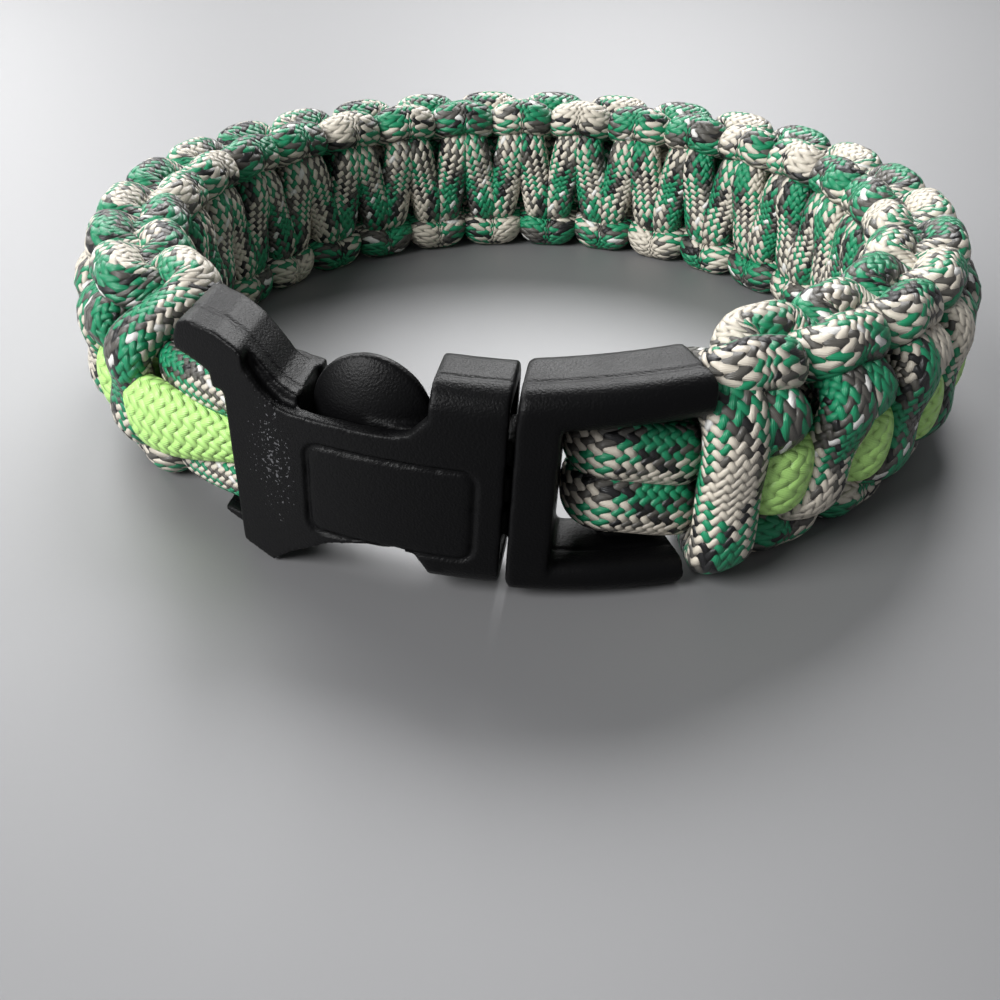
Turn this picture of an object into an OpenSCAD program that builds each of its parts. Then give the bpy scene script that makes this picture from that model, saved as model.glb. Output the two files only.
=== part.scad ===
// Paracord bracelet: two cords tied in a bar of square knots round two core
// cords, closed by a side release buckle with a whistle. Millimetres, +Z up.
// The ring lies flat on z = 0 about the Z axis and the buckle faces -Y.
// Angles run round the ring from -Y towards +X.

/* [Ring] */
// Radius of the middle of the core cords
core_radius = 33.2; // [32:0.2:42]
// Whole knots in the band
knots = 23; // [18:1:24]
// Angle of the first crossing, beside the clip
first_crossing = 27.6; // [27:0.1:30]
// Angle before the buckle's middle at which the last crossing lies
last_crossing = 44; // [40:0.5:46]

/* [Cords] */
// Width of a core cord inside the knots
core_w = 3.8; // [3.4:0.1:4.2]
// Thickness of a core cord inside the knots
core_t = 2.4; // [2:0.1:2.6]
// Gap between cords that lie on each other
cord_gap = 0.15; // [0.1:0.01:0.25]
// Width of a working cord where it crosses the outer side
cross_w = 2.9; // [2.4:0.1:3]
// Thickness of a working cord where it crosses
cross_t = 1.6; // [1.3:0.05:1.65]
// Width of a working cord along the edge of the band
edge_w = 2.2; // [1.6:0.1:2.4]
// Thickness of a working cord along the edge of the band
edge_t = 1.55; // [1.2:0.05:1.7]
// How far the middle of a working cord's edge turn lies beyond the core cord's width
edge_reach = 3.4; // [3.3:0.1:3.8]
// How much farther from the core an edge turn swings than a crossing
edge_swell = 1.3; // [1.2:0.05:1.5]
// Width of the accent cord inside the knots
accent_w = 3; // [2.4:0.1:3.2]
// Thickness of the accent cord inside the knots
accent_t = 0.85; // [0.6:0.05:0.9]

/* [Buckle] */
// How far the buckle's outer face stands out from the middle of the core cords
buckle_out = 4.6; // [4.4:0.1:5.4]
// Thickness of the buckle from its outer to its inner face
buckle_t = 6.5; // [6.3:0.1:7]
// Height of both halves beside the seam
buckle_h = 14.6; // [13.8:0.1:15.2]
// Lean of the buckle, clip end down
buckle_lean = 3; // [0:0.1:4.6]
// Gap between the clip's low end and the surface
rest_gap = 0.1; // [0.05:0.05:0.5]
// Radius of the long rounded edges
edge_round = 1.9; // [1:0.1:2.2]
// Place of the seam between the halves
seam_x = 3.4; // [3:0.1:3.6]
// Open gap along the seam
seam_gap = 0.45; // [0.3:0.05:0.6]
// Length of the mouth block, from the seam to the side notches
mouth_l = 4.85; // [4.4:0.05:5.2]
// Length of the slot for the cords, from the lobes' room to the plate's end
slot_l = 5.35; // [5.3:0.05:5.8]
// Height of the slot for the cords
slot_h = 10.4; // [9.8:0.1:10.8]
// Length of the whistle's mouthpiece past the front plate's end
horn_l = 3.8; // [3:0.1:4.6]
// Height of the mouthpiece
horn_h = 2.6; // [2.2:0.1:3]
// Thickness of the front plate
plate_t = 1.1; // [0.8:0.05:1.2]
// Thickness of the back plate
back_t = 1.2; // [0.9:0.05:1.4]
// Depth of the fine line round the panel on the front plate
panel_line = 0.15; // [0.1:0.05:0.3]
// Thickness of the two bars that carry the cords
bar_t = 1.9; // [1.5:0.1:2.1]
// Length of the clip's bar along the ring
clip_bar_l = 4.7; // [3:0.1:4.9]
// Length of the whistle half's bar along the ring
whistle_bar_l = 2.8; // [2.2:0.1:3.2]

/* [Clip] */
// Angle at which the clip's frame ends
clip_end = 24; // [23.4:0.1:24.2]
// Length of the clip's base block
clip_base_l = 2.7; // [2.2:0.1:3]
// Height of the frame's upper arm
upper_arm_h = 2.9; // [2.4:0.1:3.2]
// Height of the frame's lower arm
lower_arm_h = 2.2; // [1.8:0.1:2.4]
// Upward flare of the upper arm, in degrees
upper_flare = 6; // [0:0.5:7]
// Radius of the round lobes on the prongs
lobe_radius = 4.15; // [4:0.05:4.5]
// Radius of the lobes' bulging faces
lobe_curve = 7; // [6.5:0.5:12]
// Height of a prong's spring arm
prong_h = 1.9; // [1.5:0.1:2.2]
// Free play of the prongs and the guide in the mouth
prong_play = 0.3; // [0.2:0.05:0.4]

/* [Hidden] */
$fn = 96;
// Longer than any piece, for cuts
far = 60;

// Band: depths are measured outward from core_radius, heights from band_mid
crossings = 2 * knots + 1;
half_knot = (360 - last_crossing - first_crossing) / (crossings - 1);
core_z = (core_w + cord_gap) / 2;
edge_z = core_w + edge_reach;
band_mid = edge_z + edge_t * 0.735;
under_depth = core_t / 2 + cord_gap + cross_t / 2;
over_depth = under_depth + accent_t + cross_t / 2 + 0.1;
bar_depth = under_depth + edge_swell;
side_w = cross_w * 0.25;

// Sections along one half knot: shares of it before and after the crossing
stations = [-0.25, -0.1, 0.1, 0.25, 0.5];
overlap = 0.49;
square_z = 0.31;
cord_sides = 8;

// Buckle: x and z are seen from the front, in the buckle's own leaning frame
buckle_radius = core_radius + buckle_out;
inner_radius = buckle_radius - buckle_t;
half_h = buckle_h / 2;
buckle_z = half_h + rest_gap + buckle_radius * sin(clip_end) * sin(buckle_lean);
notch_x = seam_x - seam_gap / 2 - mouth_l;
clip_x = seam_x + seam_gap / 2;
pocket_r0 = inner_radius + back_t;
pocket_r1 = buckle_radius - plate_t;
pocket_x = notch_x - 2 * lobe_radius - 0.45;
prong_r0 = pocket_r0 + prong_play;
prong_r1 = pocket_r1 - prong_play;
lobe_x = notch_x - lobe_radius;
lobe_z = half_h - lobe_radius;
lobe_r = (prong_r0 + prong_r1) / 2;
prong_z = lobe_z - 0.5;
plate_end = pocket_x - slot_l;
slot_low = -half_h + 0.4;
slot_top = slot_low + slot_h;
wall_end = last_crossing - 5.5;
horn_end = last_crossing - 1.3;
horn_inner = inner_radius + 1;

// The two bars stand upright, bar_inset is how far one stands inside the plate's end,
// whistle_rise and clip_drop follow the lean there
bar_inset = 0.76;
whistle_bar_angle = asin((plate_end + bar_inset) / core_radius);
clip_bar_angle = clip_end - 0.6 - atan(clip_bar_l / core_radius / 2);
whistle_rise = -core_radius * sin(whistle_bar_angle) * sin(buckle_lean);
clip_drop = core_radius * sin(clip_bar_angle) * sin(buckle_lean);

// Cords round the bars: upper, accent and lower in the slot, two on the clip
run_t = 2.1;
run_gap = 0.3;
run_depth = bar_t / 2 + cord_gap + run_t / 2;
slot_core_w = slot_h * 0.27;
slot_accent_w = slot_h * 0.3;
slot_mid = buckle_z - band_mid + whistle_rise + slot_low + slot_h / 2;
slot_core_z = (slot_accent_w + slot_core_w) / 2 + run_gap;
clip_room = buckle_h - upper_arm_h - lower_arm_h;
clip_w = clip_room / 2 - 1;
clip_lift = 0.7;
clip_mid = buckle_z - band_mid - clip_drop + (lower_arm_h - upper_arm_h) / 2 + clip_lift;
clip_core_z = (clip_w + cord_gap) / 2;

plastic = [0.07, 0.07, 0.08];
camo = [0.36, 0.45, 0.38];
neon = [0.62, 0.93, 0.42];

function unit(v) = v / norm(v);
function mix(a, b, f) = a + (b - a) * f;
function spot(angle, depth, height) = [
    (core_radius + depth) * sin(angle),
    -(core_radius + depth) * cos(angle),
    band_mid + height];

// Working cords. t counts half knots along the cord, side is 1 for the cord
// that crosses outside and -1 for the one that crosses inside
function turn_angle(t) = first_crossing + half_knot * (t - overlap * sin(360 * t));
function turn_z(t, side) =
    -side * edge_z * sin(180 * t) * (1 + square_z * pow(cos(180 * t), 2));
function turn_depth(t, side) =
    let (c = cos(360 * t), odd = abs(floor(t + 0.5)) % 2,
        reach = c < 0 ? bar_depth : side > 0 && odd == 0 ? over_depth : under_depth)
    side * reach * c * (1 + pow(sin(360 * t), 2));
function turn_spot(t, side) = spot(turn_angle(t), turn_depth(t, side), turn_z(t, side));
function turn_w(t, side) =
    let (c = cos(360 * t), middle = side > 0 ? cross_w : cross_w * 0.7)
    c < 0 ? mix(side_w, edge_w, -c) : mix(side_w, middle, min(1, c / 0.8));
function turn_t(t) =
    let (c = cos(360 * t)) c < 0 ? mix(cross_t, edge_t, -c) : cross_t;

// A ring of points round one place on a cord: w along the face, t across it
function ring(place, ahead, outward, w, t) =
    let (along = unit(ahead), across = unit(cross(along, outward)), out = cross(across, along))
    [for (i = [0 : cord_sides - 1])
        let (a = 360 * (i + 0.5) / cord_sides, k = 0.5 / cos(180 / cord_sides))
        place + across * w * k * cos(a) + out * t * k * sin(a)];

function turn_ring(t, side) =
    let (a = turn_angle(t), d = turn_depth(t, side), z = turn_z(t, side))
    ring(turn_spot(t, side), turn_spot(t + 0.04, side) - turn_spot(t - 0.04, side),
        [sin(a) * d / 10, -cos(a) * d / 10, z / 49], turn_w(t, side), turn_t(t));

// A row of a cord's route: angle, depth, height, width, thickness
function route_ring(rows, i) =
    let (last = len(rows) - 1, row = rows[i], before = rows[max(i - 1, 0)],
        after = rows[min(i + 1, last)], here = spot(row[0], row[1], row[2]),
        ahead = spot(after[0], after[1], after[2]) - spot(before[0], before[1], before[2]))
    ring(here, ahead, cross([0, 0, 1], ahead), row[3], row[4]);

module cord(rings) {
    n = len(rings);
    s = cord_sides;
    walls = [for (i = [0 : n - 2], j = [0 : s - 1])
        let (k = (j + 1) % s) each [
            [i * s + j, i * s + k, (i + 1) * s + k],
            [i * s + j, (i + 1) * s + k, (i + 1) * s + j]]];
    ends = [[for (j = [s - 1 : -1 : 0]) j], [for (j = [0 : s - 1]) (n - 1) * s + j]];
    polyhedron(points = [for (r = rings) each r], faces = concat(walls, ends), convexity = 20);
}

// Half a turn round the end of a bar, seen from above. way is 1 towards +X
function bar_turn(angle, way, height, w) =
    [for (a = [-90 : 30 : 90])
        [angle + way * cos(a) * run_depth * 180 / PI / core_radius, run_depth * sin(a),
            height, w, run_t]];

clip_turn = clip_bar_angle - (clip_bar_l - bar_t) / 2 * 180 / PI / core_radius;
whistle_turn = whistle_bar_angle + (whistle_bar_l - bar_t) / 2 * 180 / PI / core_radius;
core_step = 9;
core_start = first_crossing + 3;
core_end = 360 - last_crossing - 1;

// A core cord: round the clip's bar, through the knots, round the other bar
function core_route(height, clip_height, slot_height) = concat(
    [[clip_end - 1.4, -run_depth, clip_height, clip_w, run_t]],
    bar_turn(clip_turn, -1, clip_height, clip_w),
    [[clip_end - 0.9, run_depth, clip_height, clip_w, run_t],
        [clip_end + 1.8, run_depth * 0.25, mix(height, clip_height, 0.5), core_w * 0.9, run_t]],
    [for (a = [core_start : core_step : core_end]) [a, 0, height, core_w, core_t]],
    [[core_end + 0.5, 0.1, height, core_w, core_t],
        [core_end + 3, run_depth * 0.3, mix(height, slot_height, 0.6), slot_core_w, run_t],
        [core_end + 6, run_depth, slot_height, slot_core_w, run_t]],
    [for (i = [6 : -1 : 0]) let (row = bar_turn(whistle_turn, 1, slot_height, slot_core_w)[i])
        [row[0] + 360, row[1], row[2], row[3], row[4]]],
    [[core_end + 6.5, -run_depth, slot_height, slot_core_w, run_t]]);

// The accent cord: under the even crossings and over the odd ones
accent_z = -0.6;
accent_low = core_t / 2 + cord_gap + accent_t / 2 + 0.2;
accent_high = under_depth + cross_t / 2 + accent_t / 2 + 0.8;
function accent_depth(t) = mix(accent_low, accent_high, pow(0.5 - 0.5 * cos(180 * t), 0.7));
accent_route = concat(
    [for (t = [0.2 : 0.4 : crossings - 0.8])
        [first_crossing + half_knot * t, accent_depth(t), accent_z, accent_w, accent_t]],
    [[core_end + 3, 2.8, mix(accent_z, slot_mid, 0.5), 2.5, 1.1],
        [core_end + 7, run_depth, slot_mid, slot_accent_w, run_t]],
    [for (i = [6 : -1 : 0]) let (row = bar_turn(whistle_turn, 1, slot_mid, slot_accent_w)[i])
        [row[0] + 360, row[1], row[2], row[3], row[4]]],
    [[core_end + 6.5, -run_depth, slot_mid, slot_accent_w, run_t]]);

module route_cord(rows) {
    cord([for (i = [0 : len(rows) - 1]) route_ring(rows, i)]);
}

module knot_cord(side) {
    cord([for (k = [0 : crossings - 1], s = stations)
        if (k + s < crossings - 0.6) turn_ring(k + s, side)]);
}

// Buckle helpers
module in_buckle() {
    translate([0, 0, buckle_z]) rotate([0, buckle_lean, 0]) children();
}

// Keeps what lies between two radii of a shape drawn as seen from the front
module layer(r0, r1) {
    intersection() {
        rotate([90, 0, 0]) linear_extrude(height = far) children();
        difference() {
            cylinder(r = r1, h = far, center = true);
            cylinder(r = r0, h = far + 2, center = true);
        }
    }
}

module box2d(x0, x1, z0, z1) {
    translate([x0, z0]) square([x1 - x0, z1 - z0]);
}

// Section of a ring with round corners: radii r0 to r1, heights z0 to z1
module round_section(r0, r1, z0, z1, round) {
    box2d(r0 + round, r1 - round, z0, z1);
    box2d(r0, r1, z0 + round, z1 - round);
    for (x = [r0 + round, r1 - round], z = [z0 + round, z1 - round])
        translate([x, z]) circle(r = round);
}

// Stretch of a round-edged ring between two planes x0 and x1
module round_bar(z0, z1, x0, x1, round) {
    intersection() {
        rotate_extrude() round_section(inner_radius, buckle_radius, z0, z1, round);
        translate([x0, -far, z0 - 1]) cube([x1 - x0, far, z1 - z0 + 2]);
    }
}

// What lies before, or after, the plane through the Z axis at an angle
module before(angle) {
    rotate([0, 0, angle]) translate([-far, -far, -far / 2]) cube(far);
}
module after(angle) {
    rotate([0, 0, angle]) translate([0, -far, -far / 2]) cube(far);
}

// An upright bar for the cords, heights measured from the buckle's middle
module pin_bar(angle, length, z0, z1) {
    rotate([0, 0, angle]) translate([0, -core_radius, buckle_z + z0])
        linear_extrude(height = z1 - z0) {
            square([length - bar_t, bar_t], center = true);
            for (x = [-1, 1]) translate([x * (length - bar_t) / 2, 0]) circle(d = bar_t);
        }
}

// Places seen from the front: x back from the notches, z in from the top or bottom
function upper(x, z) = [notch_x - x, half_h - z];
function lower(x, z) = [notch_x - x, z - half_h];

module front_plate_outline() {
    end = notch_x - plate_end;
    polygon([
        upper(-1, 1.5), upper(-0.3, 1.6), upper(0.1, 2.2), upper(1.2, 3.4), upper(2.6, 3.7),
        upper(9, 3.7), upper(10, 3.5), upper(11, 2.8), upper(12, 1.7), upper(13, 0.6),
        upper(end, 1), lower(end - 0.6, -0.7), lower(end - 3, -1.5), lower(end - 4.5, -0.2),
        lower(6.6, 1.6), lower(4.4, 2.2), lower(2.3, 2.5), lower(0.8, 2.3), lower(0, 1.2),
        lower(-1, 1)]);
}

module back_plate_outline() {
    wall = notch_x - pocket_x + 0.6;
    polygon([
        upper(-1, 2), upper(0, 3.3), upper(1, 4.5), upper(wall - 1, 4.5), upper(wall, 3.7),
        [pocket_x - 0.6, slot_low + 0.3], lower(7.5, 1), lower(1.2, 1.7), lower(-1, 1)]);
}

// Whistle tube: it rises from the plate's upper corner to the mouthpiece
module horn_outline() {
    wall = notch_x - pocket_x;
    end = notch_x - plate_end;
    top = -0.4;
    low = top + horn_h;
    polygon([
        [pocket_x + 0.4, slot_top], upper(wall - 0.2, 3.2), upper(wall + 1.5, 2.4),
        upper(end - 2.7, 1.3), upper(end - 1.5, 0.3), upper(end + 0.1, top + 0.1),
        upper(end + horn_l - 1.5, top), upper(end + horn_l - 0.5, top + 0.5),
        upper(end + horn_l, top + 1.6), upper(end + horn_l, low - 0.1),
        upper(end + horn_l - 0.4, low), upper(end + 2.1, low + 0.2), upper(end + 0.9, low + 0.6),
        [plate_end - 0.8, slot_top]]);
}

module lower_wall_outline() {
    end = notch_x - plate_end;
    polygon([
        [pocket_x + 0.4, slot_low], [plate_end - 1.6, slot_low], [plate_end - 1.4, slot_low - 0.5],
        lower(end - 2.6, -1), lower(end - 4.5, -0.6), [pocket_x + 0.4, slot_low - 0.15]]);
}

module panel_outline(grow) {
    x0 = pocket_x + 0.7 - grow;
    x1 = seam_x - 2 + grow;
    z0 = -half_h + 2.4 - grow;
    z1 = half_h - 5.5 + grow;
    round = 1 + grow;
    box2d(x0 + round, x1 - round, z0, z1);
    box2d(x0, x1, z0 + round, z1 - round);
    for (x = [x0 + round, x1 - round], z = [z0 + round, z1 - round])
        translate([x, z]) circle(r = round);
}

// Room for the prongs: the mouth, and the windows for the lobes above and below
module prong_room() {
    layer(pocket_r0, pocket_r1) {
        corner = 1.6;
        top = half_h - 4.1;
        box2d(pocket_x + corner, notch_x, -buckle_h, buckle_h);
        box2d(pocket_x, notch_x, -buckle_h, top);
        translate([pocket_x + corner, top]) circle(r = corner);
        box2d(pocket_x, seam_x + 1, 1.5 - half_h, half_h - 1.5);
    }
}

module whistle_body() color(plastic) {
    pin_bar(whistle_bar_angle, whistle_bar_l, whistle_rise + slot_low - 0.5, whistle_rise + slot_top + 0.5);
    in_buckle() difference() {
        union() {
            round_bar(-half_h, half_h, notch_x, seam_x - seam_gap / 2, edge_round);
            layer(buckle_radius - plate_t, buckle_radius) front_plate_outline();
            layer(inner_radius, inner_radius + back_t) back_plate_outline();
            intersection() {
                layer(horn_inner, buckle_radius - plate_t) horn_outline();
                after(-horn_end);
            }
            intersection() {
                layer(inner_radius, buckle_radius - plate_t) {
                    lower_wall_outline();
                    box2d(plate_end, pocket_x + 0.4, slot_top, slot_top + 0.9);
                    box2d(pocket_x - 0.6, pocket_x + 0.4, slot_low - 0.2, slot_top + 0.2);
                }
                after(-wall_end);
            }
            layer(buckle_radius - plate_t - 0.2, buckle_radius) intersection() {
                horn_outline();
                box2d(-buckle_radius, plate_end + 1.9, 0, buckle_h);
            }
        }
        prong_room();
        layer(buckle_radius - panel_line, buckle_radius + 1) difference() {
            panel_outline(0);
            panel_outline(-0.3);
        }
    }
}

module clip_arm(z0, z1, flare, pivot_z) {
    intersection() {
        translate([clip_x, 0, pivot_z]) rotate([0, -flare, 0]) translate([-clip_x, 0, -pivot_z])
            round_bar(z0, z1, clip_x + 0.2, far, (z1 - z0) / 2 - 0.05);
        before(clip_end);
    }
}

module prong_lobe(up) {
    half = (prong_r1 - prong_r0) / 2 - 0.15;
    drop = lobe_curve - half;
    cut_z = lobe_z - 1.2;
    angle = asin(lobe_x / lobe_r);
    intersection() {
        rotate([0, 0, angle]) translate([0, -lobe_r, up * lobe_z]) rotate([90, 0, 0])
            rotate_extrude() {
                intersection() {
                    box2d(0, lobe_radius, -half, half);
                    translate([0, drop]) circle(r = lobe_curve);
                    translate([0, -drop]) circle(r = lobe_curve);
                }
            }
        translate([-far, -far, up > 0 ? cut_z : -cut_z - far]) cube([2 * far, far, far]);
    }
}

module prong_clip() color(plastic) {
    pin_bar(clip_bar_angle, clip_bar_l, lower_arm_h / 2 - half_h - clip_drop, half_h - upper_arm_h / 2);
    in_buckle() clip_frame();
}

module clip_frame() {
    round_bar(-half_h, half_h, clip_x, clip_x + clip_base_l, edge_round);
    clip_arm(half_h - upper_arm_h, half_h, upper_flare, half_h);
    clip_arm(-half_h, -half_h + lower_arm_h, 0, -half_h);
    layer(prong_r0, prong_r1) {
        for (up = [-1, 1]) mirror([0, up > 0 ? 0 : 1])
            box2d(lobe_x, clip_x + 0.5, prong_z - prong_h / 2, prong_z + prong_h / 2);
        box2d(notch_x - 1.5, clip_x + 0.5, -1.1, 1.1);
    }
    for (up = [-1, 1]) prong_lobe(up);
}

module core_cord_upper() color(camo)
    route_cord(core_route(core_z, clip_mid + clip_core_z, slot_mid + slot_core_z));

module core_cord_lower() color(camo)
    route_cord(core_route(-core_z, clip_mid - clip_core_z, slot_mid - slot_core_z));

module accent_cord() color(neon)
    route_cord(accent_route);

module knot_cord_front() color(camo)
    knot_cord(1);

module knot_cord_back() color(camo)
    knot_cord(-1);

whistle_body();
prong_clip();
core_cord_upper();
core_cord_lower();
accent_cord();
knot_cord_front();
knot_cord_back();
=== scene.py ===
"""Paracord bracelet with a whistle buckle: the looks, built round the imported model.

Lengths are in millimetres until a mesh is made. Angles run round the ring in
degrees from -Y towards +X, as in the part's source.
"""
import math

import bpy
import numpy as np
from mathutils import Euler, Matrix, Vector


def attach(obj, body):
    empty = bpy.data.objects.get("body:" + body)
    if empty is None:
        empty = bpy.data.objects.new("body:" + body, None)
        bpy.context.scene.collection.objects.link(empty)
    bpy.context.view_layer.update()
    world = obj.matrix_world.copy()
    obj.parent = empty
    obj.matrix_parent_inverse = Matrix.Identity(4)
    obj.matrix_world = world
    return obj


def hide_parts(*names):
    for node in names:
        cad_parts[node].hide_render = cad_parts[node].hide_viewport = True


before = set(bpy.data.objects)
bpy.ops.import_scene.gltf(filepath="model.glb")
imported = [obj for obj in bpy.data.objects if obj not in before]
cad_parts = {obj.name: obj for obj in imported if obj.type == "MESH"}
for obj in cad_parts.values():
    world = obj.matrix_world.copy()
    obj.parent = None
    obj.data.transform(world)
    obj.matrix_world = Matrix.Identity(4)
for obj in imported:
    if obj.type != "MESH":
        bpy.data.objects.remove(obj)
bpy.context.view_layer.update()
MM = 0.001

# Band, with the same values as the part's source where it has them
CORE_RADIUS = 33.2
KNOTS = 23
FIRST_CROSSING = 27.6
LAST_CROSSING = 44.0
CROSSINGS = 2 * KNOTS + 1
HALF_KNOT = (360 - LAST_CROSSING - FIRST_CROSSING) / (CROSSINGS - 1)
CORE_W = 3.8
CORE_T = 2.4
CORD_GAP = 0.15
CORE_Z = (CORE_W + CORD_GAP) / 2
# Degrees between the core's places
CORE_STEP = 9
# Height of a working cord over the edge, from the band's middle, and of the middle from the floor
EDGE_Z = 6.5
BAND_MID = 8.34
# Depths of the working cords: outer crossings under and over the accent cord, inner ones, and edges
UNDER_DEPTH = 2.15
OVER_DEPTH = 3.9
INNER_DEPTH = 2.4
BAR_DEPTH = 2.0
# How far a crossing leans along the ring, in half knots, and how square its run over the edges is
OVERLAP = 0.49
SQUARE_Z = 0.31
# Squares of the band's half thickness and half height, to tell which way is out of it
BAND_ROUND = (10, 49)

# Bars and slots of the buckle, as in the part's source
BUCKLE_RADIUS = 37.8
BUCKLE_Z = 8.2
BUCKLE_LEAN = 3.0
CLIP_END = 24.0
CLIP_TURN = 16.9
WHISTLE_TURN = -26.1
RUN_DEPTH = 2.15
CORE_START = FIRST_CROSSING + 3
CORE_END = 360 - LAST_CROSSING - 1
CLIP_CORE_Z = (1.9, -2.1)
SLOT_MID = -1.05
SLOT_CORE_Z = 3.26

# Sheath: rows of stitches round a cord, the pitch of a stitch along it, and a stitch's form
BRAID = "braid"
ROWS = 24
STITCH = 0.74
STITCH_LEAN = 0.35
STITCH_ROUND = (2.4, 2.0)
STITCH_RELIEF = 0.3
THREADS = 22.0
THREAD_RELIEF = 0.03
# Heights of a stitch between which it comes out of the painted shade of the gap
GAP_HEIGHT = (0.15, 0.6)
SHEATH_ROUGHNESS = 0.36
# The neon cord's stitches are larger: 18 rows of them
NEON_FINENESS = 0.75
# Shift of the front cord's yarns that puts a tan diamond on the first crossing
FRONT_START = (-8.9, -4.0)

# Photograph's camera
CAMERA_PLACE = (9.86, -88.42, 42.87)
CAMERA_PITCH = 34.1
CAMERA_HEADING = 7.7
CAMERA_ROLL = 0.4
CAMERA_LENS_PX = 1000
FRAME_PX = 1000


def unit(v):
    return v / np.linalg.norm(v, axis=-1, keepdims=True)


def ring_spot(angle, depth, height):
    """A place in the band: angle round the ring, depth outward from the core, height from its middle."""
    a = np.radians(angle)
    r = CORE_RADIUS + depth
    return np.stack([r * np.sin(a), -r * np.cos(a), BAND_MID + height], axis=-1)


def smooth_path(points, step):
    """A Catmull-Rom curve through rows of numbers, sampled about every step of the first three."""
    p = np.asarray(points, float)
    p = np.vstack([2 * p[0] - p[1], p, 2 * p[-1] - p[-2]])
    rows = []
    for i in range(1, len(p) - 2):
        n = max(2, int(np.linalg.norm(p[i + 1, :3] - p[i, :3]) / step))
        t = (np.arange(n) / n)[:, None]
        a, b, c, d = p[i - 1], p[i], p[i + 1], p[i + 2]
        rows.append(0.5 * (2 * b + (c - a) * t + (2 * a - 5 * b + 4 * c - d) * t ** 2
                           + (3 * b - a - 3 * c + d) * t ** 3))
    rows.append(p[-2][None])
    return np.vstack(rows)


def section_points(width, thick, sides, square=2.3, fine_sides=720):
    """The corners of a rounded section, spaced evenly round it."""
    fine = np.linspace(0, 2 * math.pi, fine_sides + 1)
    x = np.sign(np.cos(fine)) * np.abs(np.cos(fine)) ** (2 / square) * width / 2
    y = np.sign(np.sin(fine)) * np.abs(np.sin(fine)) ** (2 / square) * thick / 2
    run = np.concatenate([[0], np.cumsum(np.hypot(np.diff(x), np.diff(y)))])
    at = np.arange(sides) / sides * run[-1]
    return np.interp(at, run, x), np.interp(at, run, y)


def cord_mesh(name, centre, outward, width, thick, sides=32):
    """A closed tube along centre whose section is width by thick; its UVs count stitches and rows."""
    along = unit(np.gradient(centre, axis=0))
    across = unit(np.cross(along, outward))
    out = np.cross(across, along)
    count = len(centre)
    verts = np.zeros((count, sides, 3))
    for i in range(count):
        x, y = section_points(width[i], thick[i], sides)
        verts[i] = centre[i] + x[:, None] * across[i] + y[:, None] * out[i]
    length = np.concatenate([[0], np.cumsum(np.linalg.norm(np.diff(centre, axis=0), axis=1))])
    i, j = np.meshgrid(np.arange(count - 1), np.arange(sides), indexing="ij")
    k = (j + 1) % sides
    quads = np.stack([i * sides + j, (i + 1) * sides + j, (i + 1) * sides + k, i * sides + k], -1)
    quads = quads.reshape(-1, 4)
    u0 = (length / STITCH)[i]
    u1 = (length / STITCH)[i + 1]
    v0 = j / sides * ROWS
    v1 = (j + 1) / sides * ROWS
    uv = np.stack([np.stack([u0, v0], -1), np.stack([u1, v0], -1),
                   np.stack([u1, v1], -1), np.stack([u0, v1], -1)], -2).reshape(-1, 2)
    faces = quads.tolist()
    faces.append(list(range(sides)))
    faces.append([count * sides - 1 - n for n in range(sides)])
    mesh = bpy.data.meshes.new(name)
    mesh.from_pydata((verts.reshape(-1, 3) * MM).tolist(), [], faces)
    layer = mesh.uv_layers.new(name=BRAID)
    flat = np.zeros((len(mesh.loops), 2), np.float32)
    flat[: len(uv)] = uv
    layer.data.foreach_set("uv", flat.ravel())
    mesh.polygons.foreach_set("use_smooth", [True] * len(faces))
    mesh.update()
    piece = bpy.data.objects.new(name, mesh)
    bpy.context.scene.collection.objects.link(piece)
    return piece


# Working cords: width and thickness at a crossing, beside it and on the edges
SAMPLES_PER_CROSSING = 44
FRONT_SECTION = {"cross": (4.5, 2.9), "side": (3.7, 3.2), "edge": (3.8, 3.6)}
BACK_SECTION = {"cross": (4.0, 2.9), "side": (3.6, 3.2), "edge": (3.8, 3.6)}
# Where the cords begin and end, in half knots
FRONT_FROM = 0.5
BACK_FROM = -0.25
LAST_TURN = CROSSINGS - 0.75
# Heights over which the front cord's odd crossings rise out of the accent cord's way
KNUCKLE = (0.3, 3.6)
# The front cord's first crossing: angle, depth and height of its places
FIRST_ROWS = (
    (25.6, -1.0, 5.4), (26.6, 1.6, 5.8), (27.3, 3.6, 4.4), (27.5, 4.3, 2.0), (27.4, 4.3, -1.0),
    (27.2, 4.6, -3.7), (27.4, 4.3, -5.6), (28.6, 2.4, -6.6), (30.0, -0.4, -6.6))
FIRST_STEP = 0.12


def ease(x):
    """0 below 0, 1 above 1 and smooth between."""
    x = np.clip(x, 0, 1)
    return x * x * (3 - 2 * x)


def turn_place(t, side):
    """Where a working cord is at t half knots: angle, depth and height."""
    angle = FIRST_CROSSING + HALF_KNOT * (t - OVERLAP * np.sin(2 * math.pi * t))
    height = -side * EDGE_Z * np.sin(math.pi * t) * (1 + SQUARE_Z * np.cos(math.pi * t) ** 2)
    c = np.cos(2 * math.pi * t)
    even = np.abs(np.floor(t + 0.5)) % 2 == 0
    knuckle = ease((height - KNUCKLE[0]) / (KNUCKLE[1] - KNUCKLE[0]))
    odd_reach = UNDER_DEPTH + (OVER_DEPTH - UNDER_DEPTH) * knuckle
    over = np.where(even, OVER_DEPTH, odd_reach) if side > 0 else INNER_DEPTH
    depth = side * np.where(c < 0, BAR_DEPTH, over) * c * (1 + np.sin(2 * math.pi * t) ** 2)
    return angle, depth, height


def turn_section(t, section):
    """Width and thickness of a working cord at t half knots."""
    c = np.cos(2 * math.pi * t)[:, None]
    cross, side, edge = (np.array(section[k]) for k in ("cross", "side", "edge"))
    rows = np.where(c > 0, side + (cross - side) * np.minimum(1, c / 0.8), side + (edge - side) * -c)
    return rows[:, 0], rows[:, 1]


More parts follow.
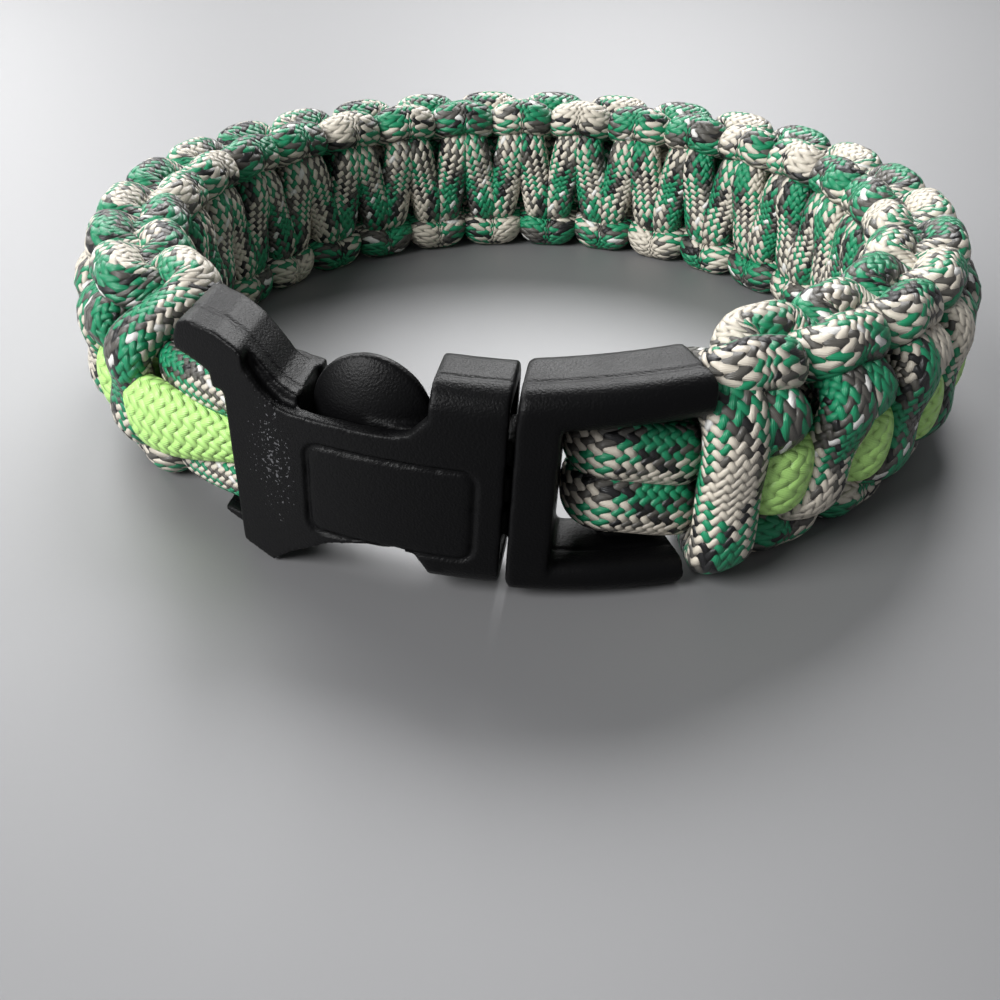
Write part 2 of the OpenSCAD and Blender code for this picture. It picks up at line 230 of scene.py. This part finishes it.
def knot_cord(name, side, section):
    """A working cord: side is 1 for the one that crosses the outer side and -1 for the other."""
    start = FRONT_FROM if side > 0 else BACK_FROM
    t = np.linspace(start, LAST_TURN, CROSSINGS * SAMPLES_PER_CROSSING)
    route = np.stack(turn_place(t, side), -1)
    width, thick = turn_section(t, section)
    if side > 0:
        rows = [row + section["cross"] for row in FIRST_ROWS]
        joint = [tuple(route[i]) + (width[i], thick[i]) for i in (0, 2)]
        first = smooth_path(rows + joint, FIRST_STEP)
        first = first[first[:, 0] < route[0, 0]]
        route = np.vstack([first[:, :3], route])
        width = np.concatenate([first[:, 3], width])
        thick = np.concatenate([first[:, 4], thick])
    angle, depth, height = route.T
    a = np.radians(angle)
    out = depth / BAND_ROUND[0]
    outward = np.stack([np.sin(a) * out, -np.cos(a) * out, height / BAND_ROUND[1]], -1)
    return cord_mesh(name, ring_spot(angle, depth, height), unit(outward), width, thick)


# Core and accent cords. A row holds angle, depth, height, width and thickness
def bar_turn(angle, way, height, width, thick):
    """Half a turn round a buckle's bar, from its inner to its outer side."""
    return [(angle + way * math.cos(math.radians(a)) * RUN_DEPTH * 180 / math.pi / CORE_RADIUS,
             RUN_DEPTH * math.sin(math.radians(a)), height, width, thick)
            for a in range(-90, 91, 30)]


def whistle_end(height, width, thick):
    """The end of a cord round the whistle half's bar, and back along the inner side."""
    turn = bar_turn(WHISTLE_TURN, 1, height, width, thick)[::-1]
    rows = [(row[0] + 360,) + row[1:] for row in turn]
    return rows + [(CORE_END + 6.5, -RUN_DEPTH, height, width, thick)]


def core_rows(height, clip_height, slot_height):
    """A core cord at its height between the bars: round the clip's bar, through the knots, round the other."""
    rows = [(CLIP_END - 1.4, -RUN_DEPTH, clip_height, 4.0, 2.4)]
    rows += bar_turn(CLIP_TURN, -1, clip_height, 4.4, 2.6)
    rows += [(CLIP_END - 0.9, RUN_DEPTH, clip_height - 0.8, 4.4, 2.6),
             (CLIP_END + 1.8, RUN_DEPTH * 0.4, clip_height - 1.3, 4.0, 2.4),
             (CORE_START, 0, height, CORE_W, CORE_T)]
    between = np.arange(CORE_START + CORE_STEP, CORE_END, CORE_STEP)
    rows += [(angle, 0, height, CORE_W, CORE_T) for angle in between]
    rows += [(CORE_END + 0.5, 0.1, height, CORE_W, CORE_T),
             (CORE_END + 4, RUN_DEPTH * 0.5, (height + slot_height) / 2, 3.8, 2.6),
             (CORE_END + 9, RUN_DEPTH, slot_height, 3.4, 2.4)]
    return rows + whistle_end(slot_height, 3.0, 2.2)


# Accent cord, under a crossing, and what is added to it where it lies over the next
ACCENT_UNDER = (1.98, -0.6, 4.2, 1.8)
ACCENT_OVER = (2.27, -0.5, 1.1, 0.7)
ACCENT_STEP = 0.2


def accent_rows():
    """The accent cord: under the even crossings, over the odd ones, then round the whistle half's bar."""
    rows = []
    for t in np.arange(ACCENT_STEP, CROSSINGS - 0.8, ACCENT_STEP):
        share = (0.5 - 0.5 * math.cos(math.pi * t)) ** 0.7
        place = [low + more * share for low, more in zip(ACCENT_UNDER, ACCENT_OVER)]
        rows.append((FIRST_CROSSING + HALF_KNOT * t, *place))
    rows += [(CORE_END + 3, 4.0, -1.0, 5.8, 2.7), (CORE_END + 9, 3.6, SLOT_MID, 5.8, 2.7)]
    return rows + whistle_end(SLOT_MID, 3.3, 2.2)


def route_cord(name, rows, step=0.35):
    """A cord through rows, flat against the ring."""
    rows = np.array(rows)
    places = np.hstack([ring_spot(rows[:, 0], rows[:, 1], rows[:, 2]), rows[:, 3:5]])
    path = smooth_path(places, step)
    along = unit(np.gradient(path[:, :3], axis=0))
    outward = unit(np.cross(np.array([0, 0, 1.0]), along))
    return cord_mesh(name, path[:, :3], outward, path[:, 3], path[:, 4])


# Materials
class Nodes:
    """Short calls to wire a material's nodes."""

    def __init__(self, name):
        self.material = bpy.data.materials.new(name)
        self.material.use_nodes = True
        self.tree = self.material.node_tree
        self.shader = self.tree.nodes["Principled BSDF"]

    def node(self, kind, **settings):
        made = self.tree.nodes.new(kind)
        for key, value in settings.items():
            setattr(made, key, value)
        return made

    def put(self, socket, value):
        if isinstance(value, bpy.types.NodeSocket):
            self.tree.links.new(value, socket)
        else:
            socket.default_value = value

    def math(self, operation, a, b=0.0, c=0.0):
        made = self.node("ShaderNodeMath", operation=operation)
        for socket, value in zip(made.inputs, (a, b, c)):
            self.put(socket, value)
        return made.outputs[0]

    def mix(self, share, a, b, blend="MIX"):
        made = self.node("ShaderNodeMix", data_type="RGBA", blend_type=blend)
        self.put(made.inputs["Factor"], share)
        self.put(made.inputs["A"], a)
        self.put(made.inputs["B"], b)
        return made.outputs["Result"]

    def vector(self, operation, a, b=(0, 0, 0)):
        made = self.node("ShaderNodeVectorMath", operation=operation)
        self.put(made.inputs[0], a)
        self.put(made.inputs[1], b)
        return made

    def noise(self, place, scale, detail=2.0):
        made = self.node("ShaderNodeTexNoise")
        self.put(made.inputs["Vector"], place)
        made.inputs["Scale"].default_value = scale
        made.inputs["Detail"].default_value = detail
        return made.outputs["Fac"]

    def bump(self, height, distance, strength=1.0):
        made = self.node("ShaderNodeBump")
        made.inputs["Distance"].default_value = distance
        made.inputs["Strength"].default_value = strength
        self.put(made.inputs["Height"], height)
        return made.outputs[0]


# Linear colours
TAN = (0.68, 0.62, 0.52, 1)
WHITE = (0.8, 0.79, 0.76, 1)
GREEN = (0.014, 0.26, 0.12, 1)
GREY = (0.1, 0.094, 0.083, 1)
BLACK = (0.015, 0.015, 0.016, 1)
NEON = (0.5, 0.85, 0.24, 1)
PLASTIC = (0.0025, 0.0025, 0.0028, 1)
SCUFF = (0.2, 0.2, 0.21, 1)
FLOOR = (0.245, 0.245, 0.25, 1)

# Plastic: its grain, its duller patches, and the scuffs' middle, reach along X, Y and Z, and threshold
GRAIN_SCALE = 6500.0
GRAIN_DEPTH = 0.06
PATCH_SCALE = 260.0
PLASTIC_ROUGHNESS = (0.32, 0.2)
SCUFF_PLACE = (-12.2, -35.8, 8.6)
SCUFF_REACH = (2.0, 3.0, 5.5)
SCUFF_SCALE = 4800.0
SCUFF_LEVEL = 0.71


def yarns(*runs):
    """The colours of one direction's yarns, from pairs of a colour and a count."""
    return [colour for colour, count in runs for _ in range(count)]


RIGHT_YARNS = yarns((TAN, 8), (GREEN, 4), (BLACK, 2), (GREY, 3), (GREEN, 4), (BLACK, 1), (GREY, 2))
LEFT_YARNS = yarns((TAN, 8), (BLACK, 2), (GREEN, 5), (GREY, 3), (WHITE, 1), (GREEN, 4), (GREY, 1))


def yarn_ramp(nodes, share, colours):
    """A stepped ramp that gives each of the yarns of one direction its colour."""
    ramp = nodes.node("ShaderNodeValToRGB")
    ramp.color_ramp.interpolation = "CONSTANT"
    stops = ramp.color_ramp.elements
    stops[0].position = 0
    stops[0].color = colours[0]
    stops.remove(stops[1])
    for i, colour in enumerate(colours[1:], 1):
        if colour != colours[i - 1]:
            stop = stops.new(i / len(colours))
            stop.color = colour
    nodes.put(ramp.inputs[0], share)
    return ramp.outputs[0]


def stitches(n, u, v, way):
    """One direction's stitches, in every second row: their height, and which yarn each one is."""
    turn = n.math("MULTIPLY", v if way > 0 else n.math("SUBTRACT", v, 1.0), 0.5)
    row = n.math("ROUND", turn)
    off = n.math("MULTIPLY", n.math("SUBTRACT", turn, row), 2.0)
    lean = n.math("MULTIPLY", off, way * STITCH_LEAN)
    w = n.math("SUBTRACT", n.math("ADD", u, 0.5 if way > 0 else 0.0), lean)
    place = n.math("SUBTRACT", n.math("FRACT", w), 0.5)
    number = n.math("SUBTRACT", n.math("FLOOR", w), n.math("MULTIPLY", row, 2.0 * way))
    long = n.math("POWER", n.math("ABSOLUTE", n.math("MULTIPLY", place, 2.0)), STITCH_ROUND[0])
    long = n.math("SUBTRACT", 1.0, long)
    wide = n.math("SUBTRACT", 1.0, n.math("POWER", n.math("ABSOLUTE", off), STITCH_ROUND[1]))
    across = n.math("SUBTRACT", off, n.math("MULTIPLY", place, way))
    thread = n.math("SINE", n.math("MULTIPLY", across, THREADS))
    height = n.math("ADD", n.math("MULTIPLY", long, wide), n.math("MULTIPLY", thread, THREAD_RELIEF))
    turned = n.math("FLOORED_MODULO", number, float(ROWS))
    return height, n.math("DIVIDE", n.math("ADD", turned, 0.5), float(ROWS))


def sheath(name, right, left, painted_gap_shade, start=(0.0, 0.0), fineness=1.0):
    """Braided nylon over the UVs: overlapping stitches of both directions, each yarn in its colour, and
    painted shade in the gaps between stitches.
    """
    n = Nodes(name)
    uv = n.node("ShaderNodeUVMap", uv_map=BRAID).outputs[0]
    parts = n.node("ShaderNodeSeparateXYZ")
    n.put(parts.inputs[0], uv)
    u = n.math("MULTIPLY_ADD", parts.outputs[0], fineness, start[0])
    v = n.math("MULTIPLY_ADD", parts.outputs[1], fineness, start[1])
    right_height, right_share = stitches(n, u, v, 1)
    left_height, left_share = stitches(n, u, v, -1)
    above = n.math("GREATER_THAN", left_height, right_height)
    colour = n.mix(above, yarn_ramp(n, right_share, right), yarn_ramp(n, left_share, left))
    height = n.math("MAXIMUM", right_height, left_height)
    # Painted shade: the yarn's colour is darkened in the low gaps between stitches, where shadow falls
    shade = n.node("ShaderNodeMapRange", interpolation_type="SMOOTHSTEP")
    n.put(shade.inputs["Value"], height)
    shade.inputs["From Min"].default_value = GAP_HEIGHT[0]
    shade.inputs["From Max"].default_value = GAP_HEIGHT[1]
    shade.inputs["To Min"].default_value = painted_gap_shade
    n.put(n.shader.inputs["Base Color"], n.mix(1.0, colour, shade.outputs[0], "MULTIPLY"))
    n.shader.inputs["Roughness"].default_value = SHEATH_ROUGHNESS
    n.put(n.shader.inputs["Normal"], n.bump(height, STITCH_RELIEF * MM))
    return n.material


def plastic():
    """Black moulded nylon with a fine grain and a few pale scuffs left of the panel."""
    n = Nodes("buckle_plastic")
    place = n.node("ShaderNodeTexCoord").outputs["Object"]
    grain = n.noise(place, GRAIN_SCALE)
    patches = n.noise(place, PATCH_SCALE, 3.0)
    apart = n.vector("SUBTRACT", place, [v * MM for v in SCUFF_PLACE]).outputs[0]
    scaled = n.vector("DIVIDE", apart, [v * MM for v in SCUFF_REACH]).outputs[0]
    far = n.vector("LENGTH", scaled).outputs["Value"]
    near = n.math("MAXIMUM", n.math("SUBTRACT", 1.0, far), 0.0)
    specks = n.math("ADD", n.noise(place, SCUFF_SCALE, 5.0), n.math("MULTIPLY", near, 0.14))
    marks = n.math("GREATER_THAN", specks, SCUFF_LEVEL)
    scuffs = n.math("MULTIPLY", marks, n.math("GREATER_THAN", near, 0.0))
    colour = n.mix(n.math("MULTIPLY", scuffs, 0.5), PLASTIC, SCUFF)
    n.put(n.shader.inputs["Base Color"], colour)
    n.shader.inputs["Specular IOR Level"].default_value = 0.13
    least, more = PLASTIC_ROUGHNESS
    n.put(n.shader.inputs["Roughness"], n.math("ADD", least, n.math("MULTIPLY", patches, more)))
    n.put(n.shader.inputs["Normal"], n.bump(grain, GRAIN_DEPTH * MM, 0.7))
    return n.material


def satin_floor():
    """A plain pale surface with a soft sheen towards the window."""
    n = Nodes("floor")
    n.shader.inputs["Base Color"].default_value = FLOOR
    n.shader.inputs["Metallic"].default_value = 0.4
    n.shader.inputs["Roughness"].default_value = 0.55
    return n.material


# Buckle halves: the solids with moulded edges, a line round the panel and a parting line
PANEL_BOX = (-9.73, 1.4, -4.9, 1.8)
PANEL_ROUND = 1.0
LINE_WIDTH = 0.17
LINE_DEPTH = 0.2
PARTING_RADIUS = 35.6
PARTING_DEPTH = 0.1
# A face counts as top or bottom from this share of Z in its normal, and as front this near the outer radius
FLAT = 0.6
FRONT_SKIN = 0.6


def groove(distance, depth):
    """How deep a line is pressed in at a distance from its middle."""
    return depth * np.exp(-(distance / LINE_WIDTH) ** 2)


def moulded_lines(mesh, panel):
    """Presses the fine lines into a buckle half's faces."""
    count = len(mesh.vertices)
    place = np.zeros(count * 3, np.float32)
    normal = np.zeros(count * 3, np.float32)
    mesh.vertices.foreach_get("co", place)
    mesh.vertices.foreach_get("normal", normal)
    place = place.reshape(-1, 3) / MM
    normal = normal.reshape(-1, 3)
    lean = math.radians(BUCKLE_LEAN)
    x = place[:, 0] * math.cos(lean) - (place[:, 2] - BUCKLE_Z) * math.sin(lean)
    z = place[:, 0] * math.sin(lean) + (place[:, 2] - BUCKLE_Z) * math.cos(lean)
    radius = np.hypot(x, place[:, 1])
    press = np.where(np.abs(normal[:, 2]) > FLAT, groove(radius - PARTING_RADIUS, PARTING_DEPTH), 0)
    if panel:
        x0, x1, z0, z1 = PANEL_BOX
        across = np.abs(x - (x0 + x1) / 2) - (x1 - x0) / 2 + PANEL_ROUND
        up = np.abs(z - (z0 + z1) / 2) - (z1 - z0) / 2 + PANEL_ROUND
        corner = np.hypot(np.maximum(across, 0), np.maximum(up, 0))
        distance = corner + np.minimum(np.maximum(across, up), 0) - PANEL_ROUND
        front = (radius > BUCKLE_RADIUS - FRONT_SKIN) & (place[:, 1] < 0) & (np.abs(normal[:, 2]) < FLAT)
        press = np.where(front, groove(distance, LINE_DEPTH), press)
    place -= normal * press[:, None]
    mesh.vertices.foreach_set("co", (place * MM).astype(np.float32).ravel())
    mesh.update()


def soft_copy(node, voxel=0.15, rounds=14):
    """A copy of a buckle half's solid with softened edges and pressed lines."""
    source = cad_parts[node]
    piece = bpy.data.objects.new(node + "_moulded", source.data.copy())
    bpy.context.scene.collection.objects.link(piece)
    remesh = piece.modifiers.new("remesh", "REMESH")
    remesh.mode = "VOXEL"
    remesh.voxel_size = voxel * MM
    remesh.adaptivity = 0.0
    relax = piece.modifiers.new("relax", "SMOOTH")
    relax.factor = 0.5
    relax.iterations = rounds
    bpy.context.view_layer.update()
    graph = bpy.context.evaluated_depsgraph_get()
    mesh = bpy.data.meshes.new_from_object(piece.evaluated_get(graph))
    piece.modifiers.clear()
    piece.data = mesh
    moulded_lines(mesh, node == "whistle_body")
    mesh.polygons.foreach_set("use_smooth", [True] * len(mesh.polygons))
    return piece


def dress(piece, material, slot, *nodes):
    """Gives a piece its material, and lets it stand for the solids of the named nodes."""
    piece.data.materials.clear()
    piece.data.materials.append(material)
    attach(piece, "root")
    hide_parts(*nodes)


def make_bracelet():
    # The third number is how far the painted shade darkens the gaps between stitches
    camo = sheath("camo_cord", RIGHT_YARNS, LEFT_YARNS, 0.45)
    front_camo = sheath("front_camo_cord", RIGHT_YARNS, LEFT_YARNS, 0.45, FRONT_START)
    neon = sheath("neon_cord", [NEON], [NEON], 0.76, fineness=NEON_FINENESS)
    black = plastic()
    dress(knot_cord("knot_cord_front_sheath", 1, FRONT_SECTION), front_camo, "camo_cord", "knot_cord_front")
    dress(knot_cord("knot_cord_back_sheath", -1, BACK_SECTION), camo, "camo_cord", "knot_cord_back")
    upper = core_rows(CORE_Z, CLIP_CORE_Z[0], SLOT_MID + SLOT_CORE_Z)
    lower = core_rows(-CORE_Z, CLIP_CORE_Z[1], SLOT_MID - SLOT_CORE_Z)
    dress(route_cord("core_cord_upper_sheath", upper), camo, "camo_cord", "core_cord_upper")
    dress(route_cord("core_cord_lower_sheath", lower), camo, "camo_cord", "core_cord_lower")
    dress(route_cord("accent_cord_sheath", accent_rows()), neon, "neon_cord", "accent_cord")
    for node in ("whistle_body", "prong_clip"):
        dress(soft_copy(node), black, "buckle_plastic", node)


def make_floor():
    bpy.ops.mesh.primitive_plane_add(size=3.0, location=(0, 0, 0))
    floor = bpy.context.object
    floor.name = "floor"
    floor.data.materials.append(satin_floor())


def area_light(name, azimuth, elevation, power, size=0.35, distance=0.6):
    """A round soft light that faces the bracelet. Azimuth runs from +Y towards +X."""
    data = bpy.data.lights.new(name, "AREA")
    data.shape = "DISK"
    data.size = size
    data.energy = power
    light = bpy.data.objects.new(name, data)
    turn = Euler((math.radians(90 - elevation), 0, math.radians(180 - azimuth)), "XYZ")
    light.rotation_euler = turn
    light.location = turn.to_matrix() @ Vector((0, 0, distance))
    bpy.context.scene.collection.objects.link(light)


# Name, azimuth, elevation and power of each light
LIGHTS = (("window_behind", 0, 40, 3.4), ("window_corner", 315, 30, 2.2), ("room", 228, 36, 4.8))
SKY = (0.94, 0.96, 1.0, 1)
SKY_STRENGTH = 0.2


def make_light():
    world = bpy.data.worlds.new("studio")
    bpy.context.scene.world = world
    world.use_nodes = True
    background = world.node_tree.nodes["Background"]
    background.inputs["Color"].default_value = SKY
    background.inputs["Strength"].default_value = SKY_STRENGTH
    for light in LIGHTS:
        area_light(*light)
    bpy.context.scene.view_settings.view_transform = "Standard"


def make_camera():
    """The photograph's camera, solved from marked places of the buckle and the band."""
    data = bpy.data.cameras.new("camera")
    data.sensor_width = 36
    data.lens = CAMERA_LENS_PX * data.sensor_width / FRAME_PX
    data.clip_start = 0.01
    camera = bpy.data.objects.new("camera", data)
    camera.location = Vector(CAMERA_PLACE) * MM
    turn = Euler((math.radians(90 - CAMERA_PITCH), 0, math.radians(CAMERA_HEADING)), "XYZ")
    roll = Euler((0, 0, math.radians(CAMERA_ROLL)), "XYZ")
    camera.rotation_euler = (turn.to_matrix() @ roll.to_matrix()).to_euler()
    bpy.context.scene.collection.objects.link(camera)
    bpy.context.scene.camera = camera


make_camera()
make_bracelet()
make_floor()
make_light()
